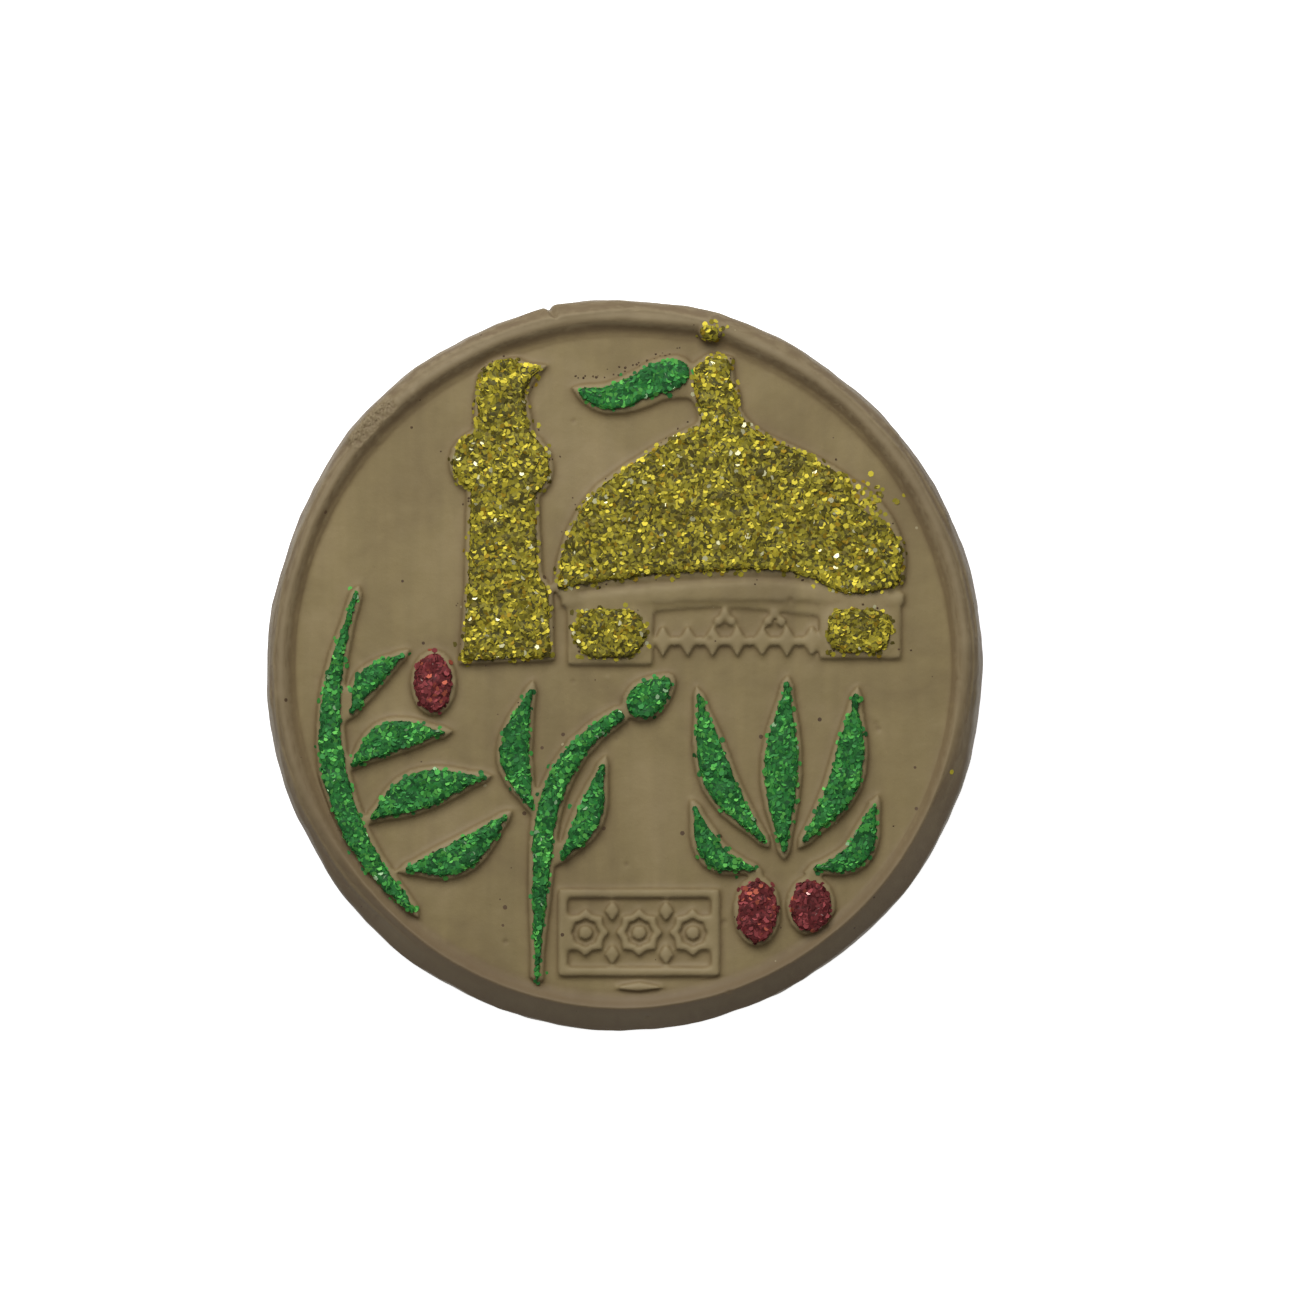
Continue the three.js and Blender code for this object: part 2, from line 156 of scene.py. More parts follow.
# The hand's work on the edge: a flat on the left, a swelling at the top and a slow wander all round.
# Each swelling has its middle and its width in degrees, and its height.
points = points_of(clay)
radius, angle, _ = from_middle(points)
edge = rising(radius, tablet_radius - rim_width, rim_width)
edge_swellings = (
    (163, 17, -0.45),
    (100, 7, 0.26),
    (106, 4, -0.16),
    (207, 8, -0.22),
    (302, 12, -0.24),
    (321, 6, 0.20),
    (20, 12, 0.14),
)


def arc_from(degrees):
    """How many degrees each point lies from an angle round the tablet."""
    turn = angle - np.radians(degrees)
    return np.degrees(np.abs(np.arctan2(np.sin(turn), np.cos(turn))))


swell = sum(height * bell(arc_from(middle), width) for middle, width, height in edge_swellings)
swell += 0.05 * np.sin(11 * angle + 0.4)
swell += 0.04 * np.sin(23 * angle + 2.1)
points[:, :2] *= (1 + edge**1.5 * swell * MM / np.maximum(radius, MM))[:, None]
move_points(clay, points)

rim = clay.vertex_groups.new(name="rim")
for step in range(1, 5):
    rim.add(np.flatnonzero(edge >= step / 5).tolist(), step / 4, "REPLACE")
for group, size, depth, strength in (
    ("", 14 * MM, 1, 0.22 * MM),
    ("", 1.6 * MM, 2, 0.07 * MM),
    ("rim", 4.6 * MM, 2, 0.34 * MM),
):
    finish_with(
        clay,
        "DISPLACE",
        texture=clouds("hand_pressure", size, depth),
        texture_coords="LOCAL",
        direction="NORMAL",
        vertex_group=group,
        strength=strength,
        mid_level=0.5,
    )

# The rim was eased inwards by the die and settled a little, and its lower edge slumped to a wide slope.
# At the spire's knob it keeps its height, so that the knob still sits on its boss.
points = points_of(clay)
radius, angle, outward = from_middle(points)
on_face = points[:, 2] > 0.6 * clay_high[2]
upper = rising(points[:, 2], 6.6 * MM, 2.4 * MM)  # 1 from the wall's top up, fading away down the wall
field_level = 9.2 * MM
crest_level = field_level + 1.2 * MM
rim_foot = 31.2 * MM
knob_angle = 75.4
slump_angle = -80
rim_settled = 0.14  # of the rim's height above the field

away_from_knob = 1 - bell(arc_from(knob_angle), 4)
pushed_in = 0.4 * MM * away_from_knob * upper
pushed_in *= rising(radius, 31.3 * MM, 0.9 * MM) * falling(radius, 35.2 * MM, MM)
points[:, 0] -= outward[0] * pushed_in
points[:, 1] -= outward[1] * pushed_in
radius -= pushed_in
on_rim = rising(radius, rim_foot, 0.4 * MM) * away_from_knob
points[:, 2] -= rim_settled * on_rim * np.maximum(0, points[:, 2] - field_level)
slumped = rising(np.cos(angle - np.radians(slump_angle)), 0.1, 0.5)
slope = crest_level - np.maximum(0, radius - (32.0 + 0.6 * np.sin(angle) ** 2) * MM)
# The lower of the rim and the slope, with a rounded turn where they meet
capped = (points[:, 2] + slope - np.hypot(points[:, 2] - slope, 0.2 * MM)) / 2
points[:, 2] += slumped * on_rim * (capped - points[:, 2])
move_points(clay, points)
finish_with(clay, "SMOOTH", factor=0.5, iterations=5, vertex_group="rim")

# Clay squeezed flat over the rim at the upper left, thin seams that run along the crest where the die
# lifted off, a nick in the top edge, and the pits left by grit and air. Each seam has the angles where
# it starts and ends, its distance from the middle, its height and its width.
points = points_of(clay)
radius, angle, outward = from_middle(points)
chance = np.random.default_rng(7)
crest_part = rising(points[:, 2], 8.8 * MM, 0.4 * MM)
smear_angle = 136
smear_half = 5.5  # degrees
nick_angle = 101.5
nick_slant = 700  # degrees for each metre that the nick runs outwards
nick_depth = 0.5 * MM
pits = 60
rim_seams = (
    (70, 131, 34.25, 0.10, 0.16),
    (141, 205, 33.75, 0.16, 0.16),
    (150, 190, 34.3, 0.12, 0.13),
    (196, 236, 33.8, 0.13, 0.16),
    (-32, 22, 34.2, 0.12, 0.14),
    (-12, 60, 33.75, 0.12, 0.14),
    (20, 44, 34.5, 0.13, 0.12),
    (22, 38, 34.1, 0.12, 0.10),
)


def wobble(turns, start):
    """A slow unevenness round the rim, from -1 to 1."""
    return (np.sin(turns * angle + start) + np.sin(2.3 * turns * angle + 2 * start)) / 2


def seam(start, end, place, height, width):
    """A thin raised line along the rim between two angles, at a distance from the middle."""
    middle, half = (start + end) / 2, (end - start) / 2
    along = np.clip(4 * (1 - arc_from(middle) / half), 0, 1)
    return height * along * bell(radius - (place + 0.13 * wobble(9, start)) * MM, width * MM)


smear = np.clip(4 - 4 * arc_from(smear_angle) / smear_half, 0, 1)
smear *= rising(radius, 32.9 * MM, 0.3 * MM) * falling(radius, 34.8 * MM, 0.5 * MM)
smear_top = clay_high[2] - 0.5 * MM + 0.08 * MM * chance.standard_normal(len(points))
rise = smear * crest_part * (smear_top - points[:, 2])
for start, end, place, height, width in rim_seams:
    rise += crest_part * seam(start, end, place, height * MM, width)
points[:, 2] += rise

nick = bell(arc_from(nick_angle + nick_slant * (radius - tablet_radius)), 0.5)
nick = nick * rising(radius, 33.6 * MM, 1.2 * MM) * (0.7 + 0.3 * upper)
points[:, 0] -= outward[0] * nick * nick_depth
points[:, 1] -= outward[1] * nick * nick_depth

for _ in range(pits):
    away = tablet_radius * math.sqrt(chance.uniform(0, 0.96))
    turn = chance.uniform(0, 2 * math.pi)
    wide = chance.uniform(0.16, 0.32) * MM
    deep = chance.uniform(-0.08, 0.17) * MM  # below 0 it is a grain that stands proud
    reach = np.hypot(points[:, 0] - away * math.cos(turn), points[:, 1] - away * math.sin(turn))
    points[:, 2] -= on_face * deep * bell(reach, wide)
points[:, 2] = np.maximum(points[:, 2], 0)
move_points(clay, points)

finish_with(clay, "DECIMATE", ratio=min(1.0, clay_triangles / (2 * len(clay.data.polygons))))
take(clay)
bpy.ops.object.shade_smooth()

# Painted shade: the clay is darkened on the sides and in the corners of the relief, and on the rim's inner
# side, most of all towards the south. How steep the clay is there and how far it lies below its own
# smoothed surface are kept for the colour.
points = points_of(clay)
radius = from_middle(points)[0]
normals = np.empty(len(points) * 3)
clay.data.vertices.foreach_get("normal", normals)
smoothed = clay.copy()
smoothed.data = clay.data.copy()
bpy.context.collection.objects.link(smoothed)
finish_with(smoothed, "SMOOTH", factor=0.5, iterations=22)
hollow = np.clip((points_of(smoothed)[:, 2] - points[:, 2]) / (0.07 * MM), -1, 1)
bpy.data.objects.remove(smoothed)
steep = falling(normals.reshape(-1, 3)[:, 2], 1, 0.35)
south = rising(-points[:, 1], 0, 25 * MM)
# Painted shade on the rim's inner side, nearly twice as strong on the south side.
inner_side_shade = (1 + 0.9 * south) * rising(radius, rim_foot, MM) * falling(radius, 33.8 * MM, MM)
painted_shade = 0.55 * steep + 0.6 * np.clip(hollow, 0, 1) + 0.45 * inner_side_shade
rubbed_shaded_south = np.clip(-hollow, 0, 1) * (points[:, 2] > 0.6 * clay_high[2])
# Painted shade: on the rim's south side most of the paleness from rubbing is taken away.
rubbed_shaded_south = rubbed_shaded_south * (1 - 0.8 * south * (radius > 31.4 * MM))
for kept, share in (("painted_shade", np.clip(painted_shade, 0, 1)), ("rubbed_shaded_south", rubbed_shaded_south)):
    clay.data.attributes.new(kept, "FLOAT", "POINT").data.foreach_set("value", share)


def srgb(code):
    """A colour given as a hex code, in linear light."""
    shares = [int(code[start : start + 2], 16) / 255 for start in (1, 3, 5)]
    linear = [share / 12.92 if share <= 0.04045 else ((share + 0.055) / 1.055) ** 2.4 for share in shares]
    return (*linear, 1)


def grey(value):
    return (value, value, value, 1)


def new_material(name):
    material = bpy.data.materials.new(name)
    material.use_nodes = True
    shader = material.node_tree.nodes["Principled BSDF"]
    return material, shader


def node(tree, kind, settings=None, values=None, links=None, stops=None):
    """Adds a node with its settings, its unlinked values, its links and, on a ramp, its colour stops."""
    added = tree.nodes.new(kind)
    for key, value in (settings or {}).items():
        setattr(added, key, value)
    for key, value in (values or {}).items():
        added.inputs[key].default_value = value
    for key, socket in (links or {}).items():
        tree.links.new(socket, added.inputs[key])
    if stops:
        elements = added.color_ramp.elements
        while len(elements) < len(stops):
            elements.new(0.5)
        for element, (place, colour) in zip(elements, stops):
            element.position = place
            element.color = colour
    return added


def blotched_body(tree, where, blotch):
    """The clay's own colour, with faint drag marks that run up and down the face, 1.5 mm apart."""
    body = node(
        tree,
        "ShaderNodeValToRGB",
        links={"Fac": blotch},
        stops=[(0.32, srgb("#7a6a47")), (0.5, srgb("#84744d")), (0.68, srgb("#8c7b55"))],
    ).outputs["Color"]
    stretched = node(tree, "ShaderNodeMapping", values={"Scale": (1, 0.08, 1)}, links={"Vector": where})
    drag = node(
        tree,
        "ShaderNodeTexNoise",
        values={"Scale": 1 / (1.5 * MM), "Detail": 2},
        links={"Vector": stretched.outputs["Vector"]},
    ).outputs["Fac"]
    drag_tint = node(
        tree,
        "ShaderNodeValToRGB",
        links={"Fac": drag},
        stops=[(0.35, grey(0.47)), (0.65, grey(0.53))],
    ).outputs["Color"]
    return node(
        tree,
        "ShaderNodeMix",
        {"data_type": "RGBA", "blend_type": "OVERLAY"},
        {"Factor": 0.7},
        {6: body, 7: drag_tint},
    ).outputs[2]


def painted_shade_and_rubbing(tree, where, body):
    """Painted shade: the rim is greyer and darker, and the clay is browner on steep sides, in hollows and
    on the rim's inner side. Ridges worn by rubbing are paler, with painted shade taking most of that away
    on the rim's south side.
    """
    flat = node(tree, "ShaderNodeVectorMath", {"operation": "MULTIPLY"}, {1: (1, 1, 0)}, {0: where})
    out = node(tree, "ShaderNodeVectorMath", {"operation": "LENGTH"}, links={0: flat.outputs[0]})
    # Painted shade: a grey-brown tint over the rim, growing from 31.6 mm outwards.
    painted_rim_shade = node(
        tree,
        "ShaderNodeMapRange",
        {"interpolation_type": "SMOOTHSTEP"},
        {"From Min": 31.6 * MM, "From Max": 33.4 * MM, "To Min": 0, "To Max": 0.6},
        {"Value": out.outputs["Value"]},
    ).outputs["Result"]
    tints = [(painted_rim_shade, "#73644b")]
    # The brown tint is painted shade; the pale tint is wear from rubbing, cut back by painted shade on the
    # rim's south side.
    for kept, strength, shade in (("painted_shade", 0.5, "#66513d"), ("rubbed_shaded_south", 0.3, "#a39372")):
        share = node(tree, "ShaderNodeAttribute", {"attribute_name": kept}).outputs["Fac"]
        share = node(
            tree, "ShaderNodeMath", {"operation": "MULTIPLY", "use_clamp": True}, {1: strength}, {0: share}
        ).outputs[0]
        tints.append((share, shade))
    for share, shade in tints:
        body = node(
            tree,
            "ShaderNodeMix",
            {"data_type": "RGBA"},
            {7: srgb(shade)},
            {"Factor": share, 6: body},
        ).outputs[2]
    return body


def gritty(tree, where, body):
    """Grit of 0.2 to 0.5 mm in the clay: sparse dark grains and a few paler ones."""
    grains = node(
        tree,
        "ShaderNodeTexVoronoi",
        values={"Scale": 1 / (1.9 * MM), "Randomness": 1},
        links={"Vector": where},
    )
    grain_size = node(tree, "ShaderNodeSeparateColor", links={"Color": grains.outputs["Color"]})
    edge_of_grain = node(
        tree,
        "ShaderNodeMath",
        {"operation": "MULTIPLY_ADD"},
        {1: 0.22, 2: -0.10},
        {0: grain_size.outputs["Red"]},
    ).outputs[0]
    is_grain = node(
        tree,
        "ShaderNodeMath",
        {"operation": "LESS_THAN"},
        links={0: grains.outputs["Distance"], 1: edge_of_grain},
    ).outputs[0]
    grain_colour = node(
        tree,
        "ShaderNodeValToRGB",
        links={"Fac": grain_size.outputs["Green"]},
        stops=[(0.0, srgb("#453420")), (0.86, srgb("#5e4a34")), (0.92, srgb("#9b8f6d"))],
    ).outputs["Color"]
    return node(
        tree,
        "ShaderNodeMix",
        {"data_type": "RGBA"},
        links={"Factor": is_grain, 6: body, 7: grain_colour},
    ).outputs[2]


def toothed(tree, where):
    """The fine tooth of dried clay wash, 0.35 mm, and the soft marks of the hand above it."""
    tooth = node(
        tree,
        "ShaderNodeTexNoise",
        values={"Scale": 1 / (0.35 * MM), "Detail": 3, "Roughness": 0.6},
        links={"Vector": where},
    ).outputs["Fac"]
    marks = node(
        tree,
        "ShaderNodeTexNoise",
        values={"Scale": 1 / (2.4 * MM), "Detail": 2},
        links={"Vector": where},
    ).outputs["Fac"]
    fine = node(
        tree,
        "ShaderNodeBump",
        values={"Strength": 0.35, "Distance": 0.05 * MM},
        links={"Height": tooth},
    ).outputs["Normal"]
    return node(
        tree,
        "ShaderNodeBump",
        values={"Strength": 0.5, "Distance": 0.12 * MM},
        links={"Height": marks, "Normal": fine},
    ).outputs["Normal"]


def dried_clay():
    # Unfired potter's clay, sun-dried: matt with a faint sheen from rubbing, blotched every 5 to 15 mm
    # where it dried unevenly, greyer and darker on the rim with painted shade, and peppered with grit.
    material, shader = new_material("sun_dried_clay")
    tree = material.node_tree
    where = node(tree, "ShaderNodeTexCoord").outputs["Object"]
    blotch = node(
        tree,
        "ShaderNodeTexNoise",
        values={"Scale": 1 / (11 * MM), "Detail": 4, "Roughness": 0.55, "Distortion": 0.6},
        links={"Vector": where},
    ).outputs["Fac"]
    rough = node(
        tree,
        "ShaderNodeValToRGB",
        links={"Fac": blotch},
        stops=[(0.3, grey(0.72)), (0.7, grey(0.60))],
    ).outputs["Color"]
    body = painted_shade_and_rubbing(tree, where, blotched_body(tree, where, blotch))
    tree.links.new(gritty(tree, where, body), shader.inputs["Base Color"])
    tree.links.new(toothed(tree, where), shader.inputs["Normal"])
    tree.links.new(rough, shader.inputs["Roughness"])
    shader.inputs["IOR"].default_value = 1.5
    shader.inputs["Specular IOR Level"].default_value = 0.38
    return material


clay.data.materials.append(dried_clay())
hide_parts("clay_tablet")
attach(clay, "root")

# ---------------------------------------------------------------------------------------------------
# One flake of craft glitter: a hexagon punched from coloured metallised polyester film, about half a
# millimetre across. It is modelled once for each shade, and thousands of copies lie in the glue. The
# shades, dark to bright, are painted shade and painted light on one glitter, and the palest are painted
# glints.
# ---------------------------------------------------------------------------------------------------

flake_across = 0.56 * MM  # between opposite corners
film_thickness = 0.025 * MM


def film(name, colour, roughness):
    # Metallised polyester film under tinted lacquer: a hard bright sparkle in the flake's given shade,
    # which is one step of its jar's painted shade and painted light.
    material, shader = new_material(name)
    shader.inputs["Base Color"].default_value = srgb(colour)
    shader.inputs["Metallic"].default_value = 0.5
    shader.inputs["Roughness"].default_value = roughness
    shader.inputs["Specular IOR Level"].default_value = 0.1
    return material


def punched_flake(name, material):
    deselect()
    bpy.ops.mesh.primitive_circle_add(vertices=6, radius=flake_across / 2, fill_type="NGON")
    flake = bpy.context.object
    flake.name = flake.data.name = name
    bpy.ops.object.mode_set(mode="EDIT")
    bpy.ops.mesh.extrude_region_move(TRANSFORM_OT_translate={"value": (0, 0, film_thickness)})
    bpy.ops.mesh.select_all(action="SELECT")
    bpy.ops.mesh.normals_make_consistent(inside=False)
    bpy.ops.object.mode_set(mode="OBJECT")
    flake.data.materials.append(material)
    return flake


def mixed_flakes(name, shades):
    """A jar of flakes: each shade, dark to bright, with how many of its flakes are in a handful. The
    shades are painted shade and painted light, and the palest is a painted glint.
    """
    jar = bpy.data.collections.new(name)
    bpy.context.scene.collection.children.link(jar)
    for shade, (colour, roughness, handful) in shades.items():
        first = punched_flake(f"{len(jar.objects):02d}_{shade}", film(shade + "_film", colour, roughness))
        bpy.context.collection.objects.unlink(first)
        jar.objects.link(first)
        for _ in range(handful - 1):
            more = first.copy()
            more.name = f"{len(jar.objects):02d}_{shade}"
            jar.objects.link(more)
    return jar


# ---------------------------------------------------------------------------------------------------
# The beads of glitter glue: each raised shape of the picture was painted over by hand from a tube of
# clear glue filled with flakes. The glue dried to a thin bumpy bead with an uneven edge, and the
# flakes lie in it at all angles.
# ---------------------------------------------------------------------------------------------------

bead_sink = 0.22 * MM  # how far a bead is bedded into the tooth of the clay
bead_grain = 0.2 * MM
flake_gap = 0.27 * MM  # between the middles of neighbouring flakes
flake_tilt = math.radians(26)
flake_lift = 0.09 * MM  # flakes lie at any depth down to this
flake_patchiness = 0.75  # how far a flake's shade follows its patch, where 0 is luck alone
glue_bumps = 0.42 * MM


def dried_glue(name, deep, pale):
    # Clear PVA glue filled with film, under the separate flakes: a dull satin skin in the film's darker
    # shades, in grains of 0.33 mm, a little smaller than a flake.
    material, shader = new_material(name)
    tree = material.node_tree
    where = node(tree, "ShaderNodeTexCoord").outputs["Object"]
    grains = node(
        tree,
        "ShaderNodeTexVoronoi",
        values={"Scale": 1 / (0.33 * MM)},
        links={"Vector": where},
    )
    part = node(tree, "ShaderNodeSeparateColor", links={"Color": grains.outputs["Color"]})
    tint = node(
        tree,
        "ShaderNodeValToRGB",
        links={"Fac": part.outputs["Red"]},
        stops=[(0.25, srgb(deep)), (0.95, srgb(pale))],
    )
    tree.links.new(tint.outputs["Color"], shader.inputs["Base Color"])
    bump = node(
        tree,
        "ShaderNodeBump",
        values={"Strength": 0.6, "Distance": 0.08 * MM},
        links={"Height": part.outputs["Green"]},
    )
    tree.links.new(bump.outputs["Normal"], shader.inputs["Normal"])
    shader.inputs["Roughness"].default_value = 0.5
    shader.inputs["Specular IOR Level"].default_value = 0.18
    shader.inputs["IOR"].default_value = 1.48
    return material


def bedded_places(tree, bead, seed):
    """Places for the flakes on the bead's upper side, each at its own depth in the glue."""
    normal = node(tree, "GeometryNodeInputNormal").outputs[0]
    upward = node(tree, "ShaderNodeSeparateXYZ", links={0: normal}).outputs["Z"]
    on_top = node(
        tree,
        "FunctionNodeCompare",
        {"data_type": "FLOAT", "operation": "GREATER_THAN"},
        {"B": 0.15},
        {"A": upward},
    ).outputs[0]
    places = node(
        tree,
        "GeometryNodeDistributePointsOnFaces",
        {"distribute_method": "POISSON"},
        {"Distance Min": flake_gap, "Density Max": 60 / MM**2, "Seed": seed},
        {"Mesh": bead, "Selection": on_top},
    )
    depth = node(
        tree,
        "FunctionNodeRandomValue",
        {"data_type": "FLOAT"},
        {2: -flake_lift, 3: flake_lift / 3, "Seed": seed + 1},
    ).outputs[1]
    offset = node(
        tree,
        "ShaderNodeVectorMath",
        {"operation": "SCALE"},
        links={0: places.outputs["Normal"], "Scale": depth},
    ).outputs[0]
    bedded = node(
        tree,
        "GeometryNodeSetPosition",
        links={"Geometry": places.outputs["Points"], "Offset": offset},
    ).outputs[0]
    return bedded, places.outputs["Rotation"]


def picked_shade(tree, jar, seed):
    """Which flake of the jar lies at a place: bright ones, with painted light, gather in patches of 1 to 3
    mm.
    """
    patch = node(
        tree,
        "ShaderNodeTexNoise",
        values={"Scale": 1 / (1.9 * MM), "Detail": 2},
        links={"Vector": node(tree, "GeometryNodeInputPosition").outputs[0]},
    ).outputs[0]
    luck = node(
        tree,
        "FunctionNodeRandomValue",
        {"data_type": "FLOAT"},
        {2: -flake_patchiness, 3: 1 - flake_patchiness, "Seed": seed + 4},
    ).outputs[1]
    brightness = node(
        tree,
        "ShaderNodeMath",
        {"operation": "MULTIPLY_ADD", "use_clamp": True},
        {1: 2 * flake_patchiness},
        {0: patch, 2: luck},
    ).outputs[0]
    pick = node(
        tree,
        "ShaderNodeMath",
        {"operation": "MULTIPLY"},
        {1: len(jar.objects) - 0.01},
        {0: brightness},
    ).outputs[0]
    return node(tree, "FunctionNodeFloatToInt", {"rounding_mode": "FLOOR"}, links={0: pick}).outputs[0]


def scatter(jar, seed):
    """The way flakes lie in a bead: close together, face up more or less, at any turn."""
    tree = bpy.data.node_groups.new("strewn_flakes", "GeometryNodeTree")
    tree.interface.new_socket("Geometry", in_out="INPUT", socket_type="NodeSocketGeometry")
    tree.interface.new_socket("Geometry", in_out="OUTPUT", socket_type="NodeSocketGeometry")
    bead = node(tree, "NodeGroupInput").outputs[0]
    bedded, rotation = bedded_places(tree, bead, seed)
    spin = node(
        tree,
        "FunctionNodeRandomValue",
        {"data_type": "FLOAT_VECTOR"},
        {0: (-flake_tilt, -flake_tilt, 0), 1: (flake_tilt, flake_tilt, math.pi), "Seed": seed + 2},
    ).outputs[0]
    turned = node(
        tree,
        "FunctionNodeRotateRotation",
        {"rotation_space": "LOCAL"},
        links={0: rotation, 1: spin},
    ).outputs[0]
    size = node(
        tree,
        "FunctionNodeRandomValue",
        {"data_type": "FLOAT"},
        {2: 0.7, 3: 1.12, "Seed": seed + 3},
    ).outputs[1]
    stock = node(
        tree,
        "GeometryNodeCollectionInfo",
        values={"Collection": jar, "Separate Children": True, "Reset Children": True},
    ).outputs[0]
    laid = node(
        tree,
        "GeometryNodeInstanceOnPoints",
        values={"Pick Instance": True},
        links={
            "Points": bedded,
            "Instance": stock,
            "Instance Index": picked_shade(tree, jar, seed),
            "Rotation": turned,
            "Scale": size,
        },
    ).outputs[0]
    real = node(tree, "GeometryNodeRealizeInstances", links={0: laid}).outputs[0]
    node(tree, "NodeGroupOutput", links={0: real})
    return tree


def lay_bead(cad_node, slot, glue, jar, seed):
    """A bead of glue bedded into the clay, and the flakes in it as a piece of their own."""
    bead = cast_from(cad_node, cad_node.replace("_glitter", "_glue"))
    points = points_of(bead)
    points[:, 2] -= bead_sink * (points[:, 2] < points[:, 2].mean())
    move_points(bead, points)
    finish_with(bead, "REMESH", mode="VOXEL", voxel_size=bead_grain)
    finish_with(bead, "SMOOTH", factor=0.5, iterations=4)
    finish_with(
        bead,
        "DISPLACE",
        texture=clouds("uneven_glue", 1.3 * MM, 1),
        texture_coords="LOCAL",
        direction="NORMAL",
        strength=glue_bumps,
        mid_level=0.5,
    )
    take(bead)
    bpy.ops.object.shade_smooth()
    bead.data.materials.append(glue)
    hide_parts(cad_node)
    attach(bead, "root")

    flakes = bead.copy()
    flakes.data = bead.data.copy()
    flakes.name = flakes.data.name = cad_node.replace("_glitter", "_flakes")
    flakes.data.materials.clear()
    bpy.context.collection.objects.link(flakes)
    finish_with(flakes, "NODES", node_group=scatter(jar, seed))
    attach(flakes, "root")
    return bead


# Each jar is one glitter in shades from painted shade to painted light, and its palest flakes are painted
# glints.
gold_jar = mixed_flakes(
    "gold_jar",
    {
        "dark_gold": ("#61582a", 0.60, 13),
        "old_gold": ("#7a6f26", 0.60, 16),
        "amber_gold": ("#997f26", 0.60, 6),
        "pale_gold": ("#cfcba0", 0.34, 2),
        "olive_gold": ("#a29838", 0.60, 20),
        "lemon_gold": ("#bfb13b", 0.55, 19),
        "bright_gold": ("#cdbd42", 0.54, 9),
    },
)
gold_glue = dried_glue("gold_glitter_glue", "#443f16", "#91872a")
green_jar = mixed_flakes(
    "green_jar",
    {
        "deep_green": ("#306738", 0.60, 13),
        "leaf_green": ("#3f8545", 0.60, 22),
        "pale_green": ("#a5cd9c", 0.32, 1),
        "grass_green": ("#4e9f49", 0.60, 22),
        "bright_green": ("#62b153", 0.57, 9),
    },
)
green_glue = dried_glue("green_glitter_glue", "#1c4d25", "#2c7c35")
red_jar = mixed_flakes(
    "red_jar",
    {
        "dark_red": ("#5b2b2b", 0.60, 14),
        "maroon": ("#7c3b3c", 0.60, 20),
        "pink": ("#c29a92", 0.32, 1),
        "crimson": ("#9a4b4d", 0.60, 18),
        "rust": ("#a85845", 0.55, 8),
    },
)
red_glue = dried_glue("red_glitter_glue", "#501d1e", "#762e2f")

kinds = {
    "gold_glitter": (gold_glue, gold_jar),
    "green_glitter": (green_glue, green_jar),
    "red_glitter": (red_glue, red_jar),
}
coats = sorted(name for name in frame["nodes"] if name.endswith("_glitter"))
beads = {slot: [] for slot in kinds}
for number, name in enumerate(coats):
    slot = "_".join(name.split("_")[-2:])
    beads[slot].append(lay_bead(name, slot, *kinds[slot], seed=100 + 10 * number))


def beside(laid_beads, count, reach, chance):
    """Spots on the clay just outside the beads, ever fewer with the distance."""
    outlines = [points_of(bead) for bead in laid_beads]
    feet = np.vstack([outline[outline[:, 2] < outline[:, 2].mean()] for outline in outlines])
    spots = []
    while len(spots) < count:
        foot = feet[chance.integers(len(feet))]
        turn = chance.uniform(0, 2 * math.pi)
        away = chance.exponential(reach)
        spot = (foot[0] + away * math.cos(turn), foot[1] + away * math.sin(turn))
        if not any(bead.ray_cast((*spot, 1), (0, 0, -1))[0] for bead in laid_beads):
            spots.append(spot)
    return spots


def strew(name, shapes, spots, chance, smallest=0.7, largest=1.1):
    """One piece made of copies of the shapes, each lying on the clay at its spot."""
    laid = []
    for x, y in spots:
        hit, place, normal, _ = clay.ray_cast((x, y, 1), (0, 0, -1))
        if not hit:
            continue
        copy = shapes[chance.integers(len(shapes))].copy()
        copy.data = copy.data.copy()
        bpy.context.collection.objects.link(copy)
        tip = mathutils.Euler((*chance.uniform(-0.2, 0.2, 2), chance.uniform(0, math.pi)))
        tip = tip.to_matrix().to_4x4()
        lay = normal.to_track_quat("Z", "Y").to_matrix().to_4x4()
        size = mathutils.Matrix.Scale(chance.uniform(smallest, largest), 4)
        copy.data.transform(mathutils.Matrix.Translation(place) @ lay @ tip @ size)
        laid.append(copy)
    deselect()
    for copy in laid:
        copy.select_set(True)
    bpy.context.view_layer.objects.active = laid[0]
    bpy.ops.object.join()
    laid[0].name = laid[0].data.name = name
    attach(laid[0], "root")


# Flakes that missed the bead and stuck to the clay beside it. The brush only brushed the dome's right
# shoulder, so flakes lie thinly there, and two were dropped further off.
chance = np.random.default_rng(3)
spots = beside(beads["gold_glitter"], 420, 0.26 * MM, chance)
spots += [(chance.normal(23.6 * MM, 1.2 * MM), chance.normal(15.9 * MM, 1.2 * MM)) for _ in range(70)]
spots += [(31.65 * MM, -10.3 * MM), (-4.9 * MM, 5.1 * MM)]
strew("stray_gold_flakes", list(gold_jar.objects), spots, chance)
spots = beside(beads["green_glitter"], 280, 0.17 * MM, chance)
strew("stray_green_flakes", list(green_jar.objects), spots, chance)
spots = beside(beads["red_glitter"], 34, 0.16 * MM, chance)
strew("stray_red_flakes", list(red_jar.objects), spots, chance)

for jar in (gold_jar, green_jar, red_jar):
    for flake in list(jar.objects):
        bpy.data.objects.remove(flake)
    bpy.data.collections.remove(jar)

# ---------------------------------------------------------------------------------------------------
# Crumbs of clay: specks of dark, damp clay that the brush and the die rubbed off. They dried onto the
# face, mostly along the edges of the glue and above the pennant.
# ---------------------------------------------------------------------------------------------------

crumb_across = 0.27 * MM
crumb_shapes = 4


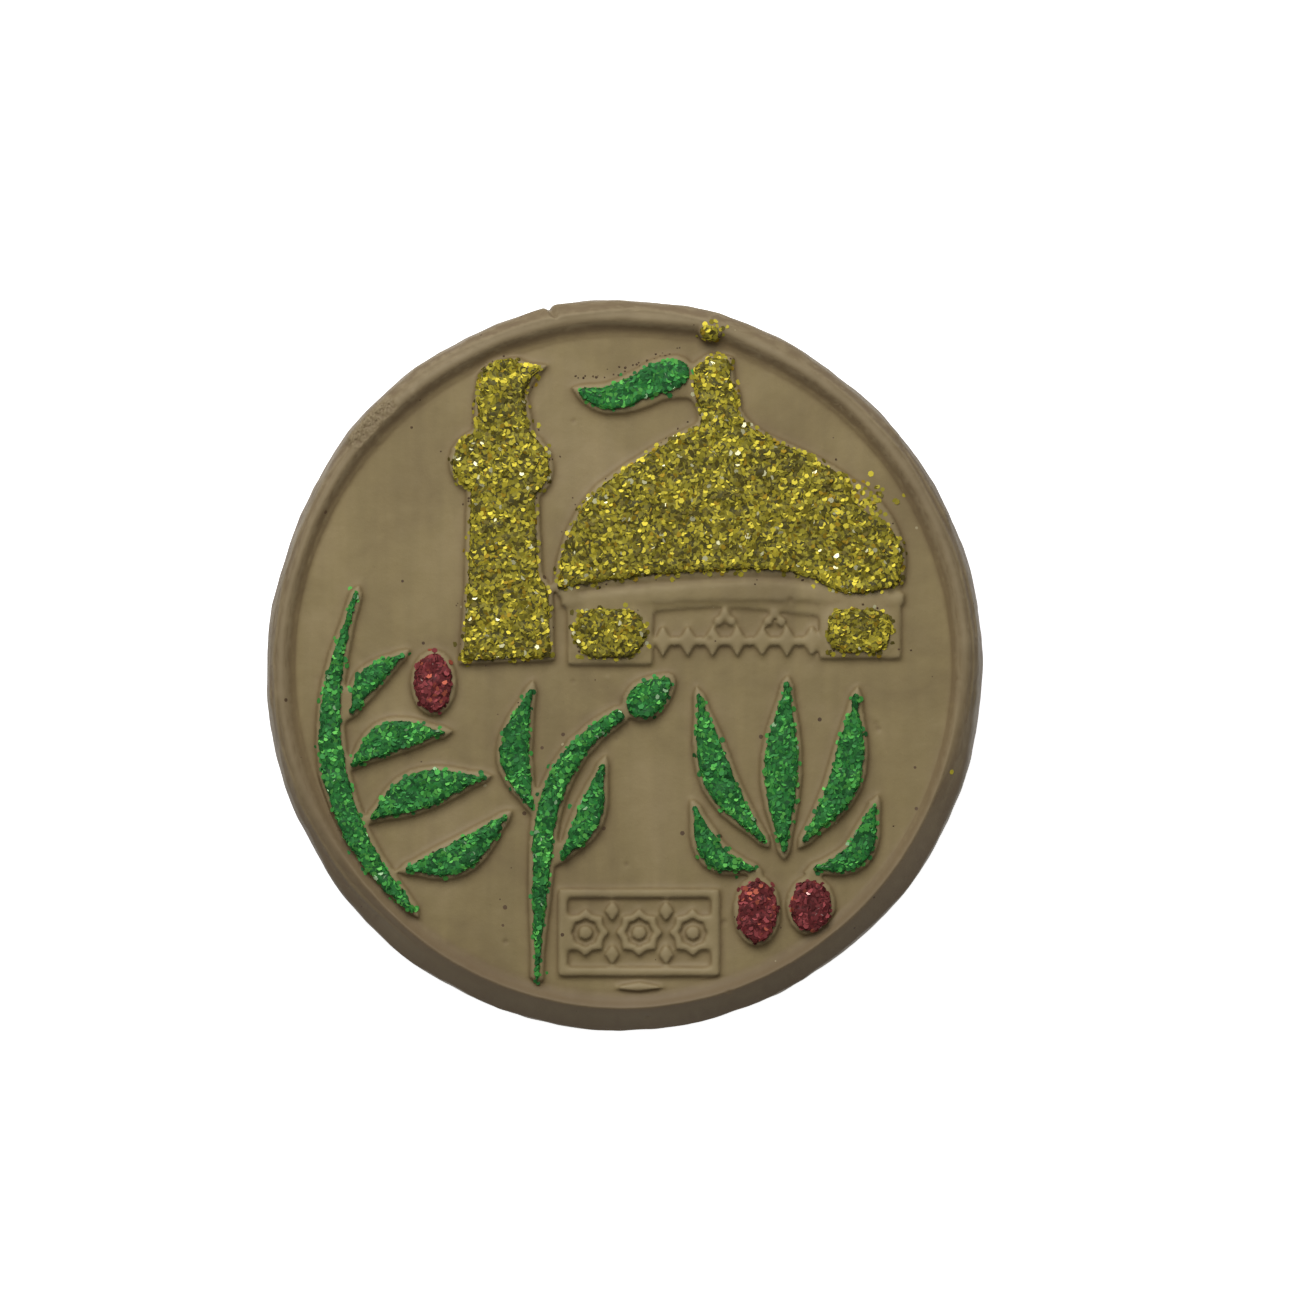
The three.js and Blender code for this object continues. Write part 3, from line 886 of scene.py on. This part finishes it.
def damp_clay():
    # Raw clay with more iron in it, so it is redder and darker than the face. It is dull all over.
    material, shader = new_material("dark_clay_crumb")
    tree = material.node_tree
    where = node(tree, "ShaderNodeTexCoord").outputs["Object"]
    speckle = node(
        tree,
        "ShaderNodeTexNoise",
        values={"Scale": 1 / (0.4 * MM)},
        links={"Vector": where},
    ).outputs["Fac"]
    tint = node(
        tree,
        "ShaderNodeValToRGB",
        links={"Fac": speckle},
        stops=[(0.35, srgb("#3c2b1c")), (0.65, srgb("#5c4730"))],
    )
    tree.links.new(tint.outputs["Color"], shader.inputs["Base Color"])
    shader.inputs["Roughness"].default_value = 0.85
    return material


crumb_clay = damp_clay()
crumbs = []
chance = np.random.default_rng(12)
for _ in range(crumb_shapes):
    deselect()
    bpy.ops.mesh.primitive_ico_sphere_add(subdivisions=2, radius=crumb_across / 2)
    crumb = bpy.context.object
    points = points_of(crumb)
    points *= 1 + 0.22 * chance.standard_normal((len(points), 1))
    points[:, 2] *= 0.6
    move_points(crumb, points)
    bpy.ops.object.shade_smooth()
    crumb.data.materials.append(crumb_clay)
    crumbs.append(crumb)

# Most lie along the gold, some in a row above the pennant, and a few anywhere on the face.
spots = beside(beads["gold_glitter"], 95, 0.4 * MM, chance)
for along in np.linspace(0, 1, 26):
    x = -4.6 + 9.6 * along + chance.normal(0, 0.25)
    y = 27.6 + 2.9 * along**1.4 + chance.normal(0, 0.25)
    spots.append((x * MM, y * MM))
for _ in range(14):
    away = 31 * math.sqrt(chance.uniform(0, 1)) * MM
    turn = chance.uniform(0, 2 * math.pi)
    spots.append((away * math.cos(turn), away * math.sin(turn)))
strew("clay_crumbs", crumbs, spots, chance, 0.4, 1.0)
for crumb in crumbs:
    bpy.data.objects.remove(crumb)

# ---------------------------------------------------------------------------------------------------
# The setting: a white light table, a large soft lamp beyond the tablet's top edge and a camera that
# looks straight down on the face.
# ---------------------------------------------------------------------------------------------------

deselect()
bpy.ops.mesh.primitive_plane_add(size=6)
table = bpy.context.object
table.name = "white_table"
white, shader = new_material("white_table_top")
shader.inputs["Base Color"].default_value = srgb("#f4f4f4")
shader.inputs["Roughness"].default_value = 0.9
shader.inputs["Emission Color"].default_value = (1, 1, 1, 1)
shader.inputs["Emission Strength"].default_value = 0.9
table.data.materials.append(white)
table.visible_diffuse = False  # the tablet stands on it without being lit from below

world = bpy.data.worlds.new("soft_room")
world.use_nodes = True
world.node_tree.nodes["Background"].inputs["Color"].default_value = (1, 1, 1, 1)
world.node_tree.nodes["Background"].inputs["Strength"].default_value = 0.17
bpy.context.scene.world = world


def lamp(name, place, size, power):
    light = bpy.data.lights.new(name, "AREA")
    light.size = size
    light.energy = power
    holder = bpy.data.objects.new(name, light)
    holder.location = place
    direction = -holder.location.normalized()
    holder.rotation_euler = direction.to_track_quat("-Z", "Y").to_euler()
    bpy.context.collection.objects.link(holder)


lamp("window", (-0.05, 0.20, 0.28), 0.24, 1.24)

camera = bpy.data.objects.new("camera", bpy.data.cameras.new("camera"))
camera.data.lens = 200
camera.data.clip_start = 0.01
camera.location = (2.56 * MM, 1.47 * MM, 0.706)
bpy.context.collection.objects.link(camera)
bpy.context.scene.camera = camera
bpy.context.scene.view_settings.view_transform = "Standard"
